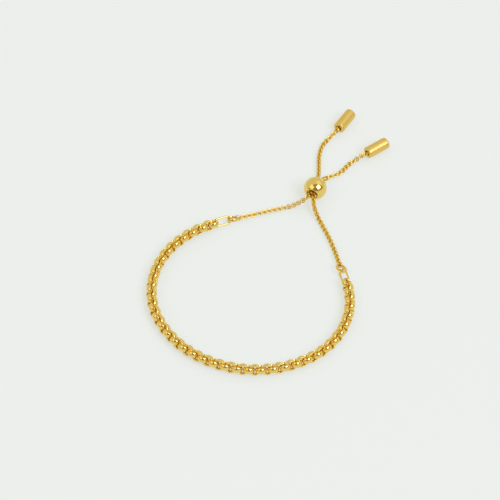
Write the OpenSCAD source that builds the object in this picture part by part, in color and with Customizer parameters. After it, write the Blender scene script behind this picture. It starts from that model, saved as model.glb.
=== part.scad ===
// Chain bracelet with a round slider bead, lying open on a flat surface.
// A closed loop of wide round links is joined at each end to a thin chain by a long link
// and a ring. Both thin chains run through the bead, and each ends in a small cap.
// Millimetres. +Z is up from the surface at z = 0, and the caps point along +Y.

/* [Main chain] */
// Outside diameter of a link
link_d = 3.08; // [3.06:0.01:3.09]
// Thickness of a link's band at its middle
link_wall = 0.58; // [0.5:0.02:0.58]
// Width of a link's band
link_width = 1.36; // [1.2:0.02:1.36]

/* [Thin chains] */
// Outside diameter of a link
thin_d = 1.34; // [1.32:0.01:1.35]
// Thickness of a link's band at its middle
thin_wall = 0.2; // [0.18:0.01:0.2]
// Width of a link's band
thin_width = 0.42; // [0.36:0.02:0.42]
// Outside diameter of the larger ring that ends each thin chain
thin_end_d = 1.7; // [1.68:0.01:1.72]

/* [Joins between the chains] */
// Outside length of the long link
long_link_length = 4.9; // [4.8:0.05:4.95]
// Width of the long link between the centres of its two sides
long_link_span = 2.16; // [2.14:0.02:2.2]
// Thickness of the long link's wire
long_link_wire = 0.52; // [0.46:0.02:0.52]
// Outside diameter of the joining ring
join_d = 3.3; // [3.24:0.02:3.3]
// Thickness of the joining ring's band at its middle
join_wall = 0.36; // [0.32:0.02:0.36]
// Width of the joining ring's band
join_width = 0.8; // [0.7:0.02:0.8]

/* [Slider bead] */
// Diameter of the bead
bead_d = 6.4; // [6.3:0.1:6.6]
// Diameter of the hole through the bead
bead_hole_d = 3; // [3:0.05:3.2]
// Wall of the hollow bead
bead_wall = 0.35; // [0.25:0.05:0.4]

/* [End caps] */
// Diameter of a cap
cap_d = 3.3; // [3:0.1:3.4]
// Length of a cap
cap_length = 7; // [6:0.5:8]
// Radius of a cap's rounded edges
cap_round = 0.4; // [0.3:0.05:0.5]
// Diameter of the mouth that the thin chain enters
cap_mouth_d = 1.64; // [1.6:0.02:1.8]

/* [Hidden] */

// Colour of the yellow gold
gold = [0.86, 0.65, 0.25];
// Facets of a circle where it is drawn with straight edges
circle_fn = 96;
// Each link lies on one edge of its band, turned this far about its chain
lean = 45;
// Thickness of each band at its two edges
link_edge = 0.2;
thin_edge = 0.1;
join_edge = 0.2;

// Distance between the centres of neighbouring links
main_pitch = 1.6;
thin_pitch = 0.732;
// Height at which a leaning link of a thin chain touches the surface
thin_rest = rest_height(thin_d, thin_wall, thin_width, thin_edge, lean);

// Route of the main chain, counter-clockwise from the left join
main_start = [-19.98, -4.73];
main_heading = 226;
// steps, degrees turned over those steps
main_bends = [[5, 17], [10, 37], [10, 37], [10, 32], [10, 32], [10, 33], [10, 40], [9, 35]];
// The main chain is slightly twisted, which is added to the lean of each link: the twist at
// its first link, then steps and the degrees by which the twist changes over those steps
main_first_twist = -16;
main_twists = [[10, 0], [30, 32], [16, 0], [18, -16]];

// Bead centre, the way its hole faces and how far that end is raised
bead_at = [0.8, 17.9, bead_d / 2];
bead_heading = -86;
bead_rise = 4;
// The thin chains pass the middle of the bead side by side
strand_offset = 0.67;
strand_height = bead_d / 2 - 0.2;
// The middle link of each is this far from the bead's centre on the way to the loop
strand_shift = 0.25;
// Lean of each chain's middle link, seen on the way to the loop
left_middle_roll = lean;
right_middle_roll = -lean;
// The thin chains climb to these heights at the joins and in the caps
join_height = 0.75;
cap_height = cap_d / 2;

// Routes of the thin chains from the middle of the bead: steps, degrees turned
left_loop_bends = [[3, -3], [6, -62], [6, 11], [17, 4.5]];
left_cap_bends = [[3, 2], [7, 14], [8, 5], [7, -18], [7, -34], [4, 20], [1, 0]];
right_loop_bends = [[4, 7], [5, 36.5], [10, -0.5], [17, -10.5]];
right_cap_bends = [[3, 4], [4, -4], [6, -48], [7, 37], [7, -37], [3, 15], [1, 0]];

// Steps from the bead before a thin chain starts down, and steps that the way down takes
left_loop_drop = [4, 10];
left_cap_drop = [3, 9];
right_loop_drop = [4, 10];
right_cap_drop = [3, 9];
// Steps that the climb takes at the far end of a thin chain
join_climb = 5;
cap_climb = 7;

// Joins: centre, heading, slope and roll of each piece
left_long_pose = [[-18.14, -2.76, 1.44], 47, -1.5, 60];
left_join_pose = [[-15.97, -0.57, 1.17], 42.3, -5, -31.5];
left_thin_end_pose = [[-14.93, 0.69, 0.89], 57.2, 21, 53.2];
right_long_pose = [[20.31, -6.45, 1.41], 129.7, -0.6, -45];
right_join_pose = [[18.44, -4.12, 1.18], 153, 4, 32];
right_thin_end_pose = [[17.56, -2.89, 0.8], 123.7, 16.3, -52];
// Radius of the long link's corners at the centre of its wire
long_link_corner = 0.7;
// Thickness and width of the band of the larger ring that ends a thin chain
thin_end_wall = 0.22;
thin_end_width = 0.34;

// Depth of a cap's mouth, and how deep the last loose link and the fixed ring sit in it
mouth_depth = 1.4;
mouth_link_depth = 0.2;
fixed_ring_depth = mouth_link_depth + thin_pitch;

// Shape of a band: both sides are arcs of a circle, and the two edges are flat
function side_radius(wall, width, edge) =
    let (rise = (wall - edge) / 2)
    (width * width / 4 + rise * rise) / (2 * rise);
function rest_height(outer_d, wall, width, edge, leaning) =
    (outer_d - wall + edge) / 2 * sin(leaning) + width / 2 * cos(leaning);

// Rolls of a chain's links, of which neighbours lean opposite ways
function rolls(first_roll, count) =
    [for (k = [0 : count - 1]) k % 2 == 0 ? first_roll : -first_roll];

// Heading at every link: it turns evenly along each row of the bends. The same evens out
// the main chain's twist.
function headings(first, bends) =
    let (turns = [for (b = bends) for (k = [1 : b[0]]) b[1] / b[0]])
    [for (k = 0, h = first; k <= len(turns);
        h = h + (k < len(turns) ? turns[k] : 0), k = k + 1) h];

// Way from link k to the next one, as seen from above
function step(yaws, heights, pitch, k) =
    k + 1 >= len(yaws) ? [0, 0] :
    let (rise = heights[k + 1] - heights[k],
        reach = sqrt(pitch * pitch - rise * rise),
        middle = (yaws[k] + yaws[k + 1]) / 2)
    [reach * cos(middle), reach * sin(middle)];

// Centre of every link
function route(start, yaws, heights, pitch) =
    [for (k = 0, at = start; k < len(yaws);
        at = at + step(yaws, heights, pitch, k), k = k + 1) [at[0], at[1], heights[k]]];

// Height at every link of a thin chain on its way from the bead to its far end
function ease(share) = (1 - cos(180 * min(max(share, 0), 1))) / 2;
function thin_heights(count, drop, end_height, climb) =
    [for (k = [0 : count])
        strand_height + (thin_rest - strand_height) * ease((k - drop[0]) / drop[1])
        + (end_height - thin_rest) * ease((k - count + climb) / (climb - 2))];

function backwards(list) = [for (k = [len(list) - 1 : -1 : 1]) list[k]];
function half_turned(list) = [for (h = list) h + 180];
function slope_at(places, k) =
    let (rise = places[min(k + 1, len(places) - 1)] - places[max(k - 1, 0)])
    atan2(rise[2], norm([rise[0], rise[1]]));

// Link centres of one half of a thin chain, from the middle of the bead to the far end
function half_route(side, yaws, drop, end_height, climb) =
    route([bead_at[0] + side * strand_offset + strand_shift * cos(bead_heading),
        bead_at[1] + strand_shift * sin(bead_heading)],
        yaws, thin_heights(len(yaws) - 1, drop, end_height, climb), thin_pitch);

left_loop_yaws = headings(bead_heading, left_loop_bends);
left_cap_yaws = headings(bead_heading + 180, left_cap_bends);
right_loop_yaws = headings(bead_heading, right_loop_bends);
right_cap_yaws = headings(bead_heading + 180, right_cap_bends);
left_loop_route = half_route(-1, left_loop_yaws, left_loop_drop, join_height, join_climb);
left_cap_route = half_route(-1, left_cap_yaws, left_cap_drop, cap_height, cap_climb);
right_loop_route = half_route(1, right_loop_yaws, right_loop_drop, join_height, join_climb);
right_cap_route = half_route(1, right_cap_yaws, right_cap_drop, cap_height, cap_climb);

module lay(place, heading, slope, roll) {
    translate(place)
        rotate([0, -slope, heading])
            rotate([roll, 0, 0])
                children();
}

// A round ring bent from a band that is thicker at its middle than at its edges
module band_ring(outer_d, wall, width, edge) {
    side_r = side_radius(wall, width, edge);
    rotate_extrude($fn = circle_fn)
        intersection() {
            translate([outer_d / 2 - wall, -width / 2])
                square([wall, width]);
            translate([outer_d / 2 - side_r, 0])
                circle(r = side_r, $fn = circle_fn);
            translate([outer_d / 2 - wall + side_r, 0])
                circle(r = side_r, $fn = circle_fn);
        }
}

// Links laid along a route
module chain(places, yaws, link_rolls, outer_d, wall, width, edge) {
    for (k = [0 : len(places) - 1])
        lay(places[k], yaws[k], slope_at(places, k), link_rolls[k])
            band_ring(outer_d, wall, width, edge);
}

// A long link of round wire with rounded corners
module long_link() {
    side = long_link_length - long_link_wire - 2 * long_link_corner;
    end = long_link_span - 2 * long_link_corner;
    for (turn = [0, 180])
        rotate([0, 0, turn]) {
            translate([-side / 2, long_link_span / 2, 0])
                rotate([0, 90, 0])
                    cylinder(d = long_link_wire, h = side, $fn = circle_fn);
            translate([(side + 2 * long_link_corner) / 2, end / 2, 0])
                rotate([90, 0, 0])
                    cylinder(d = long_link_wire, h = end, $fn = circle_fn);
            translate([side / 2, end / 2, 0])
                long_link_bend();
            translate([side / 2, -end / 2, 0])
                rotate([0, 0, -90])
                    long_link_bend();
        }
}

module long_link_bend() {
    rotate_extrude(angle = 90, $fn = circle_fn)
        translate([long_link_corner, 0])
            circle(d = long_link_wire, $fn = circle_fn);
}

module posed(pose) {
    lay(pose[0], pose[1], pose[2], pose[3])
        children();
}

// A thin chain from its cap to its join, with the larger ring at the join
module thin_chain(loop_route, loop_yaws, cap_route, cap_yaws, middle_roll, end_pose) {
    places = concat(backwards(cap_route), loop_route);
    yaws = concat(half_turned(backwards(cap_yaws)), loop_yaws);
    first_roll = (len(cap_route) - 1) % 2 == 0 ? middle_roll : -middle_roll;
    chain(places, yaws, rolls(first_roll, len(places)), thin_d, thin_wall, thin_width, thin_edge);
    posed(end_pose)
        band_ring(thin_end_d, thin_end_wall, thin_end_width, thin_edge);
}

// A hollow ball with a hole along its X axis and a rounded lip at each end of the hole
module bead() {
    lip_r = bead_hole_d / 2 + bead_wall / 2;
    middle_r = bead_d / 2 - bead_wall / 2;
    lip_at = sqrt(middle_r * middle_r - lip_r * lip_r);
    rotate([0, 90, 0])
        rotate_extrude($fn = circle_fn) {
            difference() {
                circle(d = bead_d, $fn = circle_fn);
                circle(d = bead_d - 2 * bead_wall, $fn = circle_fn);
                translate([-bead_d, -bead_d])
                    square([bead_d + lip_r, 2 * bead_d]);
            }
            for (end = [-1, 1])
                translate([lip_r, end * lip_at])
                    circle(d = bead_wall, $fn = circle_fn);
        }
}

// A cap along +X from its mouth, with the ring that holds the chain fixed in the mouth
module end_cap(roll) {
    difference() {
        rotate([0, 90, 0])
            rotate_extrude($fn = circle_fn) {
                square([cap_d / 2 - cap_round, cap_length]);
                translate([0, cap_round])
                    square([cap_d / 2, cap_length - 2 * cap_round]);
                for (end = [cap_round, cap_length - cap_round])
                    translate([cap_d / 2 - cap_round, end])
                        circle(r = cap_round, $fn = circle_fn);
            }
        translate([-1, 0, 0])
            rotate([0, 90, 0])
                cylinder(d = cap_mouth_d, h = mouth_depth + 1, $fn = circle_fn);
    }
    translate([fixed_ring_depth, 0, 0])
        rotate([roll, 0, 0])
            band_ring(thin_d, thin_wall, thin_width, thin_edge);
}

// A cap laid on the end of a thin chain. Seen towards the cap, the middle link's lean is
// the other way round, and the fixed ring leans the other way from the last loose link.
module cap_on(cap_route, cap_yaws, middle_roll) {
    last = len(cap_route) - 1;
    lay(cap_route[last], cap_yaws[last], 0, 0)
        translate([-mouth_link_depth, 0, 0])
            end_cap(last % 2 == 0 ? middle_roll : -middle_roll);
}

module main_chain() {
    yaws = headings(main_heading, main_bends);
    twists = headings(main_first_twist, main_twists);
    heights = [for (t = twists)
        rest_height(link_d, link_wall, link_width, link_edge, lean + abs(t))];
    color(gold)
        chain(route(main_start, yaws, heights, main_pitch), yaws,
            rolls(lean, len(yaws)) + twists, link_d, link_wall, link_width, link_edge);
}

module left_long_link() {
    color(gold)
        posed(left_long_pose)
            long_link();
}

module right_long_link() {
    color(gold)
        posed(right_long_pose)
            long_link();
}

module left_join_ring() {
    color(gold)
        posed(left_join_pose)
            band_ring(join_d, join_wall, join_width, join_edge);
}

module right_join_ring() {
    color(gold)
        posed(right_join_pose)
            band_ring(join_d, join_wall, join_width, join_edge);
}

module left_thin_chain() {
    color(gold)
        thin_chain(left_loop_route, left_loop_yaws, left_cap_route, left_cap_yaws,
            left_middle_roll, left_thin_end_pose);
}

module right_thin_chain() {
    color(gold)
        thin_chain(right_loop_route, right_loop_yaws, right_cap_route, right_cap_yaws,
            right_middle_roll, right_thin_end_pose);
}

module slider_bead() {
    color(gold)
        lay(bead_at, bead_heading, bead_rise, 0)
            bead();
}

module left_end_cap() {
    color(gold)
        cap_on(left_cap_route, left_cap_yaws, left_middle_roll);
}

module right_end_cap() {
    color(gold)
        cap_on(right_cap_route, right_cap_yaws, right_middle_roll);
}

main_chain();
left_long_link();
right_long_link();
left_join_ring();
right_join_ring();
left_thin_chain();
right_thin_chain();
slider_bead();
left_end_cap();
right_end_cap();
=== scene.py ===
import math

import bpy
from mathutils import Matrix, Vector


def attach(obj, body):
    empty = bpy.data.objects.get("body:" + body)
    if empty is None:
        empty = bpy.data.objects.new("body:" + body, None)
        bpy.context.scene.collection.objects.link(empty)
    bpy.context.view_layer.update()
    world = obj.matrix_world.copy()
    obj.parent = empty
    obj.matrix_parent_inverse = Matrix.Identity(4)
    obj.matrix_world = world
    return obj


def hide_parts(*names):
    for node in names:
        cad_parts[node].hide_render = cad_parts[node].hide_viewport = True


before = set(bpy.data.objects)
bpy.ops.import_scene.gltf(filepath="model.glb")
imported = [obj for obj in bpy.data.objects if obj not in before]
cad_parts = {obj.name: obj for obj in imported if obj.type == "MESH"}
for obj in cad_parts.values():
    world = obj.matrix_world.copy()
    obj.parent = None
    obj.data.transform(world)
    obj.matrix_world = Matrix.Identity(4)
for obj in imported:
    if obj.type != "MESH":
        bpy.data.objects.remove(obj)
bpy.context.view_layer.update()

# Sizes and routes are in millimetres, as in the part's source, and meshes are made in metres.
MM = 0.001

# Degrees that the links of every chain lean, to alternate sides
LEAN = 45

# Bands: outside diameter, thickness at the middle, width and thickness at the edges
LINK = {"d": 3.08, "wall": 0.58, "width": 1.36, "edge": 0.2}
THIN = {"d": 1.34, "wall": 0.2, "width": 0.42, "edge": 0.1}
THIN_END = {"d": 1.7, "wall": 0.22, "width": 0.34, "edge": 0.1}
JOIN = {"d": 3.3, "wall": 0.36, "width": 0.8, "edge": 0.2}
BAND_CORNER = 0.07
THIN_CORNER = 0.04

# The solids' links keep 0.1 mm apart, where real ones touch, so here they are a little fuller on every side
LINK_FULLER = 0.03
THIN_FULLER = 0.04

# Long links of round wire, the hollow bead, and the end caps, each with a mouth that has a rounded lip
LONG = {"length": 4.9, "span": 2.16, "wire": 0.52, "corner": 0.7}
BEAD = {"d": 6.4, "hole": 3.0, "wall": 0.35}
CAP = {"d": 3.3, "length": 7.0, "round": 0.4, "mouth": 1.64, "depth": 1.4, "lip": 0.08, "corner": 0.02}

# Main chain: bends and twists are pairs of links and the degrees turned over them
MAIN_PITCH = 1.6
MAIN_START = (-19.98, -4.73)
MAIN_HEADING = 226
MAIN_BENDS = [(5, 17), (10, 37), (10, 37), (10, 32), (10, 32), (10, 33), (10, 40), (9, 35)]
MAIN_FIRST_TWIST = -16
MAIN_TWISTS = [(10, 0), (30, 32), (16, 0), (18, -16)]

# Bead, and the two strands of thin chain that run through it. A strand's middle link lies to one side of the
# bead's middle, by the offset, and a little along its hole, by the shift.
BEAD_AT = (0.8, 17.9, 3.2)
BEAD_HEADING = -86
BEAD_RISE = 4
THIN_PITCH = 0.732
STRAND_OFFSET = 0.67
STRAND_SHIFT = 0.25
STRAND_HEIGHT = 3.0

# Ends of the strands: height, links of the climb from the surface, and those of them that then stay level
JOIN_HEIGHT = 0.75
JOIN_CLIMB = 5
CAP_HEIGHT = CAP["d"] / 2
CAP_CLIMB = 7
LEVEL_LINKS = 2
MOUTH_LINK_DEPTH = 0.2

# Each strand's bends run from the bead, towards the loop and towards the cap. Its drops to the surface are
# the link that they start at and the links that they take.
STRANDS = {
    "left": {
        "side": -1, "middle_roll": LEAN,
        "loop_bends": [(3, -3), (6, -62), (6, 11), (17, 4.5)], "loop_drop": (4, 10),
        "cap_bends": [(3, 2), (7, 14), (8, 5), (7, -18), (7, -34), (4, 20), (1, 0)], "cap_drop": (3, 9)},
    "right": {
        "side": 1, "middle_roll": -LEAN,
        "loop_bends": [(4, 7), (5, 36.5), (10, -0.5), (17, -10.5)], "loop_drop": (4, 10),
        "cap_bends": [(3, 4), (4, -4), (6, -48), (7, 37), (7, -37), (3, 15), (1, 0)], "cap_drop": (3, 9)},
}

# Pieces at the joins: centre, heading, slope and roll
POSES = {
    "left_long": ((-18.14, -2.76, 1.44), 47, -1.5, 60),
    "left_join": ((-15.97, -0.57, 1.17), 42.3, -5, -31.5),
    "left_thin_end": ((-14.93, 0.69, 0.89), 57.2, 21, 53.2),
    "right_long": ((20.31, -6.45, 1.41), 129.7, -0.6, -45),
    "right_join": ((18.44, -4.12, 1.18), 153, 4, 32),
    "right_thin_end": ((17.56, -2.89, 0.8), 123.7, 16.3, -52),
}

# Looks: two colours, lowest and highest roughness, and the grain's scale. Scales are in noise cells a metre.
POLISHED = {"light": (0.89, 0.66, 0.19), "deep": (0.86, 0.63, 0.165), "rough": (0.07, 0.14), "grain": 1500}
THIN_GOLD = {"light": (0.87, 0.61, 0.12), "deep": (0.80, 0.55, 0.09), "rough": (0.07, 0.14), "grain": 1500}
SATIN = {"light": (0.855, 0.595, 0.155), "deep": (0.825, 0.565, 0.135), "rough": (0.33, 0.4), "grain": 6000}
TINT_SCALE = 260
POLISH_SCALE = 900
POLISH_NOISE = (0.3, 0.7)
GRAIN_DEPTH = 0.00001
GRAIN_STRENGTH = 0.3

# Floor, just below the lowest link, in metres
FLOOR_Z = -0.00005
FLOOR_HALF = 3
PAPER = {
    "Base Color": (0.34, 0.34, 0.31, 1),
    "Emission Color": (0.945, 1.0, 0.947, 1),
    "Emission Strength": 0.548,
    "Roughness": 0.9,
    "Specular IOR Level": 0.1,
}

# Camera, which looks down at the bracelet from a little right of the front: distances in metres, lens and
# sensor in millimetres
AIM = Vector((-7.3, -7.8, 0)) * MM
CAMERA_AZIMUTH = 25
CAMERA_ELEVATION = 50
CAMERA_DISTANCE = 0.715
NEAREST = 0.01
LENS = 187.2
SENSOR_WIDTH = 36

# Light: softboxes, and a surround that is pale apart from a wide dark patch in front and above
LIGHT_DISTANCE = 3.0
PALE = (0.74, 0.74, 0.72)
DARK = (0.32, 0.24, 0.14)
PATCH_AZIMUTH = 31
PATCH_ELEVATION = 52
PATCH_NARROWING = 1.15
PATCH_EDGE = (-0.02, 0.36)

# Sockets of a colour mix node: its two colours and its result
MIX_FIRST = 6
MIX_SECOND = 7
MIX_RESULT = 2


# Places and directions

def turn(axis, degrees):
    return Matrix.Rotation(math.radians(degrees), 4, axis)


def lay(place, heading, slope, roll):
    return Matrix.Translation(place) @ turn("Z", heading) @ turn("Y", -slope) @ turn("X", roll)


def along(distance):
    return Matrix.Translation((distance, 0, 0))


def direction(azimuth, elevation):
    """Unit vector out from the object. Azimuth 0 is the front, -Y, and 90 is the right."""
    a, e = math.radians(azimuth), math.radians(elevation)
    return Vector((math.sin(a) * math.cos(e), -math.cos(a) * math.cos(e), math.sin(e)))


def rest_height(size, leaning):
    """Height of a leaning link's centre above the surface that its edge touches."""
    lean = math.radians(leaning)
    reach = (size["d"] - size["wall"] + size["edge"]) / 2
    return reach * math.sin(lean) + size["width"] / 2 * math.cos(lean)


# Routes: the heading, place and slope of every link of a chain

def headings(first, bends):
    yaws = [first]
    for steps, turned in bends:
        for _ in range(steps):
            yaws.append(yaws[-1] + turned / steps)
    return yaws


def route(start, yaws, heights, pitch):
    x, y = start
    places = [Vector((x, y, heights[0]))]
    for k in range(len(yaws) - 1):
        rise = heights[k + 1] - heights[k]
        reach = math.sqrt(pitch * pitch - rise * rise)
        middle = math.radians((yaws[k] + yaws[k + 1]) / 2)
        x += reach * math.cos(middle)
        y += reach * math.sin(middle)
        places.append(Vector((x, y, heights[k + 1])))
    return places


def ease(share):
    return (1 - math.cos(math.pi * min(max(share, 0), 1))) / 2


def thin_heights(count, drop, end_height, climb):
    """Heights from the bead down to the surface and up again at the strand's end."""
    rest = rest_height(THIN, LEAN)
    first, links = drop
    return [STRAND_HEIGHT + (rest - STRAND_HEIGHT) * ease((k - first) / links)
            + (end_height - rest) * ease((k - count + climb) / (climb - LEVEL_LINKS))
            for k in range(count + 1)]


def half_strand(side, bends, drop, first, end_height, climb):
    """Headings and places of a strand's links from the bead's middle to one of its ends."""
    yaws = headings(first, bends)
    away = math.radians(BEAD_HEADING)
    start = (BEAD_AT[0] + side * STRAND_OFFSET + STRAND_SHIFT * math.cos(away),
             BEAD_AT[1] + STRAND_SHIFT * math.sin(away))
    return yaws, route(start, yaws, thin_heights(len(yaws) - 1, drop, end_height, climb), THIN_PITCH)


def chain_frames(places, yaws, first_roll, twists=None):
    """A matrix for each link, which leans to alternate sides about its way, twisted if twists are given."""
    frames = []
    last = len(places) - 1
    for k, place in enumerate(places):
        way = places[min(k + 1, last)] - places[max(k - 1, 0)]
        slope = math.degrees(math.atan2(way.z, math.hypot(way.x, way.y)))
        roll = first_roll if k % 2 == 0 else -first_roll
        frames.append(lay(place, yaws[k], slope, roll + (twists[k] if twists else 0)))
    return frames


# Sections: outlines as (radius, height) or (radius, x) points

def arc(centre, radius, first, last, count):
    points = []
    for k in range(count):
        angle = math.radians(first + (last - first) * k / (count - 1))
        points.append((centre[0] + radius * math.cos(angle), centre[1] + radius * math.sin(angle)))
    return points


def fuller(size, by):
    """Sizes of a band that is thicker by this much on every side."""
    return {name: value + 2 * by for name, value in size.items()}


def band_profile(size, corner, side_points, corner_points):
    """Section of a band: an arc for each side, flat edges and rounded corners."""
    half_wall, half = size["wall"] / 2, size["width"] / 2
    rise = (size["wall"] - size["edge"]) / 2
    side = (half * half + rise * rise) / (2 * rise)
    middle = size["d"] / 2 - half_wall
    lift = half - corner
    slant = math.degrees(math.asin(lift / (side - corner)))
    reach = half_wall - side + (side - corner) * math.cos(math.radians(slant))
    quarter = arc((half_wall - side, 0), side, 0, slant, side_points)
    quarter += arc((reach, lift), corner, slant, 90, corner_points)[1:]
    outline = quarter + [(-x, y) for x, y in reversed(quarter)]
    outline += [(-x, -y) for x, y in quarter[1:]] + [(x, -y) for x, y in reversed(quarter[1:])]
    return [(middle + x, y) for x, y in outline]


def cap_profile():
    """Section of an end cap, from the far end's middle along the outside and into the mouth."""
    half, mouth, rounded = CAP["d"] / 2, CAP["mouth"] / 2, CAP["round"]
    length, depth, lip, corner = CAP["length"], CAP["depth"], CAP["lip"], CAP["corner"]
    outline = [(mouth * 0.4, depth), (mouth - corner, depth), (mouth, depth - corner)]
    outline += [(mouth, x) for x in (0.9, 0.4)]
    outline += arc((mouth + lip, lip), lip, 180, 270, 5)
    outline += arc((half - rounded, rounded), rounded, 270, 360, 9)
    outline += [(half, length * share) for share in (0.2, 0.4, 0.6, 0.8)]
    outline += arc((half - rounded, length - rounded), rounded, 0, 90, 9)
    outline += [(half * share, length) for share in (0.5, 0.2)]
    return outline[::-1]


def bead_profile():
    """Section of the hollow bead: its outside, a rounded lip, its inside and the other lip."""
    outer, wall = BEAD["d"] / 2, BEAD["wall"]
    lip_r = BEAD["hole"] / 2 + wall / 2
    lip_x = math.sqrt((outer - wall / 2) ** 2 - lip_r ** 2)
    start = math.degrees(math.atan2(lip_r, lip_x))
    outline = arc((0, 0), outer, start, 180 - start, 61)
    outline += arc((-lip_x, lip_r), wall / 2, 180 - start, 360 - start, 11)[1:-1]
    outline += arc((0, 0), outer - wall, 180 - start, start, 41)
    outline += arc((lip_x, lip_r), wall / 2, 180 + start, 360 + start, 11)[1:-1]
    return [(r, x) for x, r in outline]


# Meshes: points and faces of a surface through rows of points, each row a closed loop

def swept(rows, closed=True):
    count, size = len(rows), len(rows[0])
    points = [p for row in rows for p in row]
    faces = []
    for i in range(count if closed else count - 1):
        a, b = i * size, (i + 1) % count * size
        for j in range(size):
            n = (j + 1) % size
            faces.append((a + j, b + j, b + n, a + n))
    return points, faces


def capped(rows):
    """A surface through rows, with a flat face at each end."""
    points, faces = swept(rows, closed=False)
    size, last = len(rows[0]), len(points) - 1
    faces.append(tuple(range(size)))
    faces.append(tuple(range(last, last - size, -1)))
    return points, faces


def ring_mesh(profile, segments):
    """A section turned about the Z axis."""
    rows = []
    for k in range(segments):
        angle = 2 * math.pi * k / segments
        rows.append([Vector((r * math.cos(angle), r * math.sin(angle), h)) for r, h in profile])
    return swept(rows)


def turned_rows(profile, segments):
    """A section turned about the X axis, with a row of points for each of its points."""
    angles = [2 * math.pi * k / segments for k in range(segments)]
    return [[Vector((x, r * math.cos(angle), r * math.sin(angle))) for angle in angles] for r, x in profile]


def wire_mesh(size, sides, corner_steps, side_steps):
    """A long link of round wire: a loop with straight sides and rounded corners."""
    half_x = (size["length"] - size["wire"]) / 2 - size["corner"]
    half_y = size["span"] / 2 - size["corner"]
    middle = []
    for sx, sy, first in ((1, 1, 0), (-1, 1, 90), (-1, -1, 180), (1, -1, 270)):
        middle += arc((sx * half_x, sy * half_y), size["corner"], first, first + 90, corner_steps)
    spread = []
    for k, p in enumerate(middle):
        q = middle[(k + 1) % len(middle)]
        spread.append(p)
        if math.dist(p, q) > size["corner"]:
            spread += [(p[0] + (q[0] - p[0]) * s / side_steps, p[1] + (q[1] - p[1]) * s / side_steps)
                       for s in range(1, side_steps)]
    rows = []
    up = Vector((0, 0, 1))
    for k, p in enumerate(spread):
        before, after = spread[k - 1], spread[(k + 1) % len(spread)]
        way = Vector((after[0] - before[0], after[1] - before[1], 0)).normalized()
        out = Vector((way.y, -way.x, 0))
        row = []
        for s in range(sides):
            angle = 2 * math.pi * s / sides
            row.append(Vector((*p, 0)) + size["wire"] / 2 * (math.cos(angle) * out + math.sin(angle) * up))
        rows.append(row)
    return swept(rows)


def piece(name, parts, node, material):
    """One object made of (points, faces, matrix) parts, in metres, which stands for a node."""
    points, faces = [], []
    for part_points, part_faces, matrix in parts:
        first = len(points)
        points += [(matrix @ p) * MM for p in part_points]
        faces += [tuple(first + i for i in face) for face in part_faces]
    mesh = bpy.data.meshes.new(name)
    mesh.from_pydata([tuple(p) for p in points], [], faces)
    mesh.validate()
    mesh.polygons.foreach_set("use_smooth", [True] * len(mesh.polygons))
    mesh.materials.append(material)
    mesh.update()
    obj = bpy.data.objects.new(name, mesh)
    bpy.context.scene.collection.objects.link(obj)
    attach(obj, "root")
    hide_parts(node)


# Shader nodes: each function adds one to a tree and gives its output

def noise(tree, place, scale, detail):
    node = tree.nodes.new("ShaderNodeTexNoise")
    node.inputs["Scale"].default_value = scale
    node.inputs["Detail"].default_value = detail
    tree.links.new(place, node.inputs["Vector"])
    return node.outputs["Fac"]


def mapped(tree, value, before, after, smooth=False):
    """A value taken from one range of numbers to another."""
    node = tree.nodes.new("ShaderNodeMapRange")
    if smooth:
        node.interpolation_type = "SMOOTHSTEP"
    for names, numbers in ((("From Min", "From Max"), before), (("To Min", "To Max"), after)):
        for name, number in zip(names, numbers):
            node.inputs[name].default_value = number
    tree.links.new(value, node.inputs["Value"])
    return node.outputs["Result"]


def mixed(tree, share, first, second):
    """A colour between two others."""
    node = tree.nodes.new("ShaderNodeMix")
    node.data_type = "RGBA"
    node.inputs[MIX_FIRST].default_value = (*first, 1)
    node.inputs[MIX_SECOND].default_value = (*second, 1)
    tree.links.new(share, node.inputs["Factor"])
    return node.outputs[MIX_RESULT]


def dot(tree, place, vector):
    node = tree.nodes.new("ShaderNodeVectorMath")
    node.operation = "DOT_PRODUCT"
    node.inputs[1].default_value = vector
    tree.links.new(place, node.inputs[0])
    return node.outputs["Value"]


def worked(tree, operation, *values):
    """Arithmetic on one or two values, each a number with a decimal point or another node's output."""
    node = tree.nodes.new("ShaderNodeMath")
    node.operation = operation
    for value, socket in zip(values, node.inputs):
        if isinstance(value, float):
            socket.default_value = value
        else:
            tree.links.new(value, socket)
    return node.outputs[0]


def gold(name, look):
    """Yellow gold whose colour and polish change a little over the surface."""
    material = bpy.data.materials.new(name)
    material.use_nodes = True
    tree = material.node_tree
    shader = tree.nodes["Principled BSDF"]
    shader.inputs["Metallic"].default_value = 1.0
    place = tree.nodes.new("ShaderNodeTexCoord").outputs["Object"]
    tint = mixed(tree, noise(tree, place, TINT_SCALE, 3), look["deep"], look["light"])
    rough = mapped(tree, noise(tree, place, POLISH_SCALE, 4), POLISH_NOISE, look["rough"])
    bump = tree.nodes.new("ShaderNodeBump")
    bump.inputs["Strength"].default_value = GRAIN_STRENGTH
    bump.inputs["Distance"].default_value = GRAIN_DEPTH
    tree.links.new(noise(tree, place, look["grain"], 2), bump.inputs["Height"])
    tree.links.new(tint, shader.inputs["Base Color"])
    tree.links.new(rough, shader.inputs["Roughness"])
    tree.links.new(bump.outputs["Normal"], shader.inputs["Normal"])
    return material


polished = gold("polished_gold", POLISHED)
thin_polished = gold("thin_chain_gold", THIN_GOLD)
satin = gold("satin_gold", SATIN)

# The bands' sections
link_profile = band_profile(fuller(LINK, LINK_FULLER), BAND_CORNER, side_points=4, corner_points=3)
thin_profile = band_profile(fuller(THIN, THIN_FULLER), THIN_CORNER, side_points=2, corner_points=2)
thin_end_profile = band_profile(THIN_END, THIN_CORNER, side_points=3, corner_points=3)
join_profile = band_profile(JOIN, BAND_CORNER, side_points=5, corner_points=4)

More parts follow.
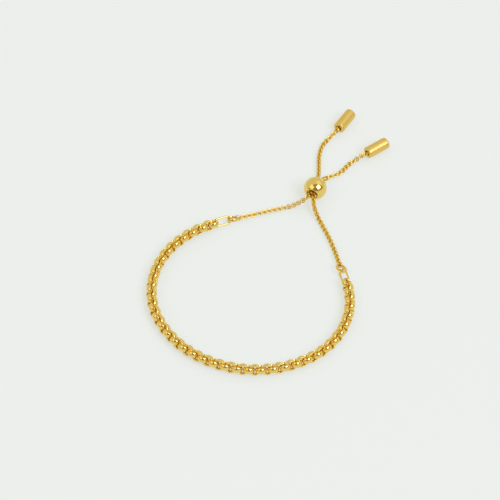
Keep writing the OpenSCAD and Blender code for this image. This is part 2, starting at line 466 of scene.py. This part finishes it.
# One mesh for each kind of link, for the end cap without its ring, and for the bead
link = ring_mesh(link_profile, segments=56)
thin_link = ring_mesh(thin_profile, segments=32)
thin_end = ring_mesh(thin_end_profile, segments=48)
join_ring = ring_mesh(join_profile, segments=96)
long_link = wire_mesh(LONG, sides=18, corner_steps=9, side_steps=4)
cap_body = capped(turned_rows(cap_profile(), segments=72))
bead = swept(turned_rows(bead_profile(), segments=96))


# Pieces

def main_chain():
    yaws = headings(MAIN_HEADING, MAIN_BENDS)
    twists = headings(MAIN_FIRST_TWIST, MAIN_TWISTS)
    heights = [rest_height(LINK, LEAN + abs(twist)) for twist in twists]
    frames = chain_frames(route(MAIN_START, yaws, heights, MAIN_PITCH), yaws, LEAN, twists)
    piece("main_chain_links", [(*link, m) for m in frames], "main_chain", polished)


def strand(name, side, middle_roll, loop_bends, loop_drop, cap_bends, cap_drop):
    """One side's thin chain, with the long link and joining ring at one end and the cap at the other."""
    loop_yaws, loop_places = half_strand(side, loop_bends, loop_drop, BEAD_HEADING, JOIN_HEIGHT, JOIN_CLIMB)
    cap_yaws, cap_places = half_strand(side, cap_bends, cap_drop, BEAD_HEADING + 180, CAP_HEIGHT, CAP_CLIMB)
    places = cap_places[:0:-1] + loop_places
    yaws = [yaw + 180 for yaw in cap_yaws[:0:-1]] + loop_yaws
    last = len(cap_places) - 1
    end_roll = middle_roll if last % 2 == 0 else -middle_roll
    links = [(*thin_link, m) for m in chain_frames(places, yaws, end_roll)]
    links.append((*thin_end, lay(*POSES[name + "_thin_end"])))
    piece(name + "_thin_chain_links", links, name + "_thin_chain", thin_polished)
    long_parts = [(*long_link, lay(*POSES[name + "_long"]))]
    piece(name + "_long_link_wire", long_parts, name + "_long_link", polished)
    join_parts = [(*join_ring, lay(*POSES[name + "_join"]))]
    piece(name + "_join_ring_band", join_parts, name + "_join_ring", polished)
    at_mouth = lay(cap_places[last], cap_yaws[last], 0, 0) @ along(-MOUTH_LINK_DEPTH)
    fixed = at_mouth @ along(MOUTH_LINK_DEPTH + THIN_PITCH) @ turn("X", end_roll)
    cap_parts = [(*cap_body, at_mouth), (*thin_link, fixed)]
    piece(name + "_end_cap_body", cap_parts, name + "_end_cap", satin)


def slider_bead():
    """A hollow ball with a rounded lip at each end of its hole."""
    ball = [(*bead, lay(BEAD_AT, BEAD_HEADING, BEAD_RISE, 0))]
    piece("slider_bead_ball", ball, "slider_bead", polished)


main_chain()
for name, facts in STRANDS.items():
    strand(name, **facts)
slider_bead()


# Studio

def pale_floor():
    half = FLOOR_HALF
    corners = [(-half, -half, 0), (half, -half, 0), (half, half, 0), (-half, half, 0)]
    mesh = bpy.data.meshes.new("floor")
    mesh.from_pydata(corners, [], [(0, 1, 2, 3)])
    floor = bpy.data.objects.new("floor", mesh)
    bpy.context.scene.collection.objects.link(floor)
    floor.location.z = FLOOR_Z
    paper = bpy.data.materials.new("pale_paper")
    paper.use_nodes = True
    inputs = paper.node_tree.nodes["Principled BSDF"].inputs
    for socket, value in PAPER.items():
        inputs[socket].default_value = value
    mesh.materials.append(paper)


def aim(obj, target, way, distance):
    """Adds a camera or lamp at a distance from its target, and turns it to look there."""
    bpy.context.scene.collection.objects.link(obj)
    obj.location = target + way * distance
    obj.rotation_euler = (-way).to_track_quat("-Z", "Y").to_euler()


def camera():
    data = bpy.data.cameras.new("camera")
    data.lens = LENS
    data.sensor_width = SENSOR_WIDTH
    data.clip_start = NEAREST
    obj = bpy.data.objects.new("camera", data)
    aim(obj, AIM, direction(CAMERA_AZIMUTH, CAMERA_ELEVATION), CAMERA_DISTANCE)
    bpy.context.scene.camera = obj


def softbox(name, towards, size, power, colour):
    data = bpy.data.lights.new(name, "AREA")
    data.shape = "SQUARE"
    data.size = size
    data.energy = power
    data.color = colour
    aim(bpy.data.objects.new(name, data), Vector((0, 0, 0)), Vector(towards).normalized(), LIGHT_DISTANCE)


def surround():
    world = bpy.data.worlds.new("studio")
    bpy.context.scene.world = world
    world.use_nodes = True
    tree = world.node_tree
    place = tree.nodes.new("ShaderNodeTexCoord").outputs["Generated"]
    ahead = dot(tree, place, direction(PATCH_AZIMUTH, PATCH_ELEVATION))
    across = worked(tree, "ABSOLUTE", dot(tree, place, direction(PATCH_AZIMUTH, PATCH_ELEVATION - 90)))
    inside = worked(tree, "SUBTRACT", ahead, worked(tree, "MULTIPLY", across, PATCH_NARROWING))
    share = mapped(tree, inside, PATCH_EDGE, (0, 1), smooth=True)
    shade = tree.nodes["Background"]
    shade.inputs["Strength"].default_value = 1.0
    tree.links.new(mixed(tree, share, PALE, DARK), shade.inputs["Color"])


pale_floor()
camera()
softbox("key_softbox", (0.657, -0.157, 0.738), size=1.8, power=41.0, colour=(0.88, 0.96, 1.40))
softbox("fill_softbox", (-0.36, -0.62, 0.70), size=2.2, power=13.0, colour=(1, 1, 1))
softbox("back_softbox", (0.30, 0.53, 0.79), size=2.2, power=3.5, colour=(1, 1, 1))
surround()
bpy.context.scene.view_settings.view_transform = "Standard"
